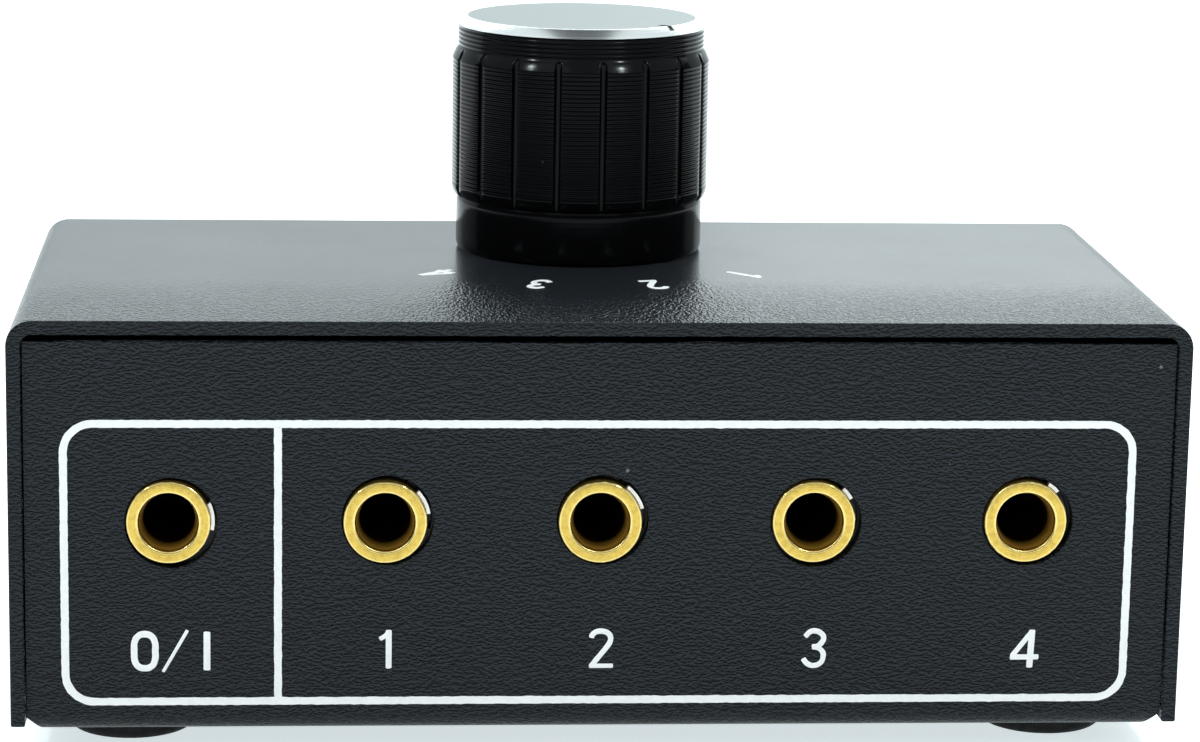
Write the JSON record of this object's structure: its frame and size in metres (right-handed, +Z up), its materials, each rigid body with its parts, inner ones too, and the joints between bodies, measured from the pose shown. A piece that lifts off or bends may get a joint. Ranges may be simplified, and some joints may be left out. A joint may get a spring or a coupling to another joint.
{
  "type": "audio selector",
  "caption": "Passive stereo audio selector: black folded-steel box with brass 3.5 mm sockets in a row on one side and a ridged rotary knob on top.",
  "frame": {"origin": "middle of the box's footprint, on the plane that the feet stand on", "axes": "+X along the row of sockets, from the common socket towards socket 4; -Y out of the socket panel; +Z up"},
  "size_m": [0.082, 0.041, 0.0489],
  "materials": {
    "case_paint": "black wrinkle paint with white prints",
    "black_zinc": "black zinc",
    "rubber": "matt black",
    "board_green": "green solder mask on glass laminate",
    "brass": "turned, bright",
    "tinned": "tinned bronze",
    "black_plastic": "moulded, satin",
    "phenolic": "punched laminate",
    "die_cast": "die-cast zinc",
    "steel": "nickel plated",
    "nylon": "natural, moulded",
    "spring_brass": "rolled strip",
    "knob_black": "turned, gloss black anodised",
    "knob_silver": "spun top with a polished rim"
  },
  "bodies": {
    "case": {"top_cover": "case_paint", "chassis": "case_paint", "cover_screws": "black_zinc", "rubber_feet": "rubber", "circuit_board": "board_green", "board_standoffs": "brass", "board_screws": "steel", "socket_common_housing": "black_plastic", "socket_common_bush": "brass", "socket_common_tip_contact": "tinned", "socket_common_ring_contact": "tinned", "socket_common_sleeve_contact": "tinned", "socket_1_housing": "black_plastic", "socket_1_bush": "brass", "socket_1_tip_contact": "tinned", "socket_1_ring_contact": "tinned", "socket_1_sleeve_contact": "tinned", "socket_2_housing": "black_plastic", "socket_2_bush": "brass", "socket_2_tip_contact": "tinned", "socket_2_ring_contact": "tinned", "socket_2_sleeve_contact": "tinned", "socket_3_housing": "black_plastic", "socket_3_bush": "brass", "socket_3_tip_contact": "tinned", "socket_3_ring_contact": "tinned", "socket_3_sleeve_contact": "tinned", "socket_4_housing": "black_plastic", "socket_4_bush": "brass", "socket_4_tip_contact": "tinned", "socket_4_ring_contact": "tinned", "socket_4_sleeve_contact": "tinned", "switch_bushing": "die_cast", "switch_can": "black_plastic", "switch_base": "phenolic", "switch_terminals": "tinned", "switch_washer": "steel", "switch_nut": "steel"},
    "selector": {"selector_shaft": "steel", "shaft_clip": "steel", "switch_rotor": "nylon", "switch_wipers": "spring_brass", "detent_spring": "steel", "detent_ball": "steel", "knob_shell": "knob_black", "knob_core": "black_plastic", "knob_cap": "knob_silver"}
  },
  "joints": [
    {"name": "selector_turn", "type": "hinge", "parent": "case", "child": "selector", "pos_m": [0, 0.0093, 0.03], "axis": [0, 0, 1], "range_deg": [-90, 0]}
  ]
}
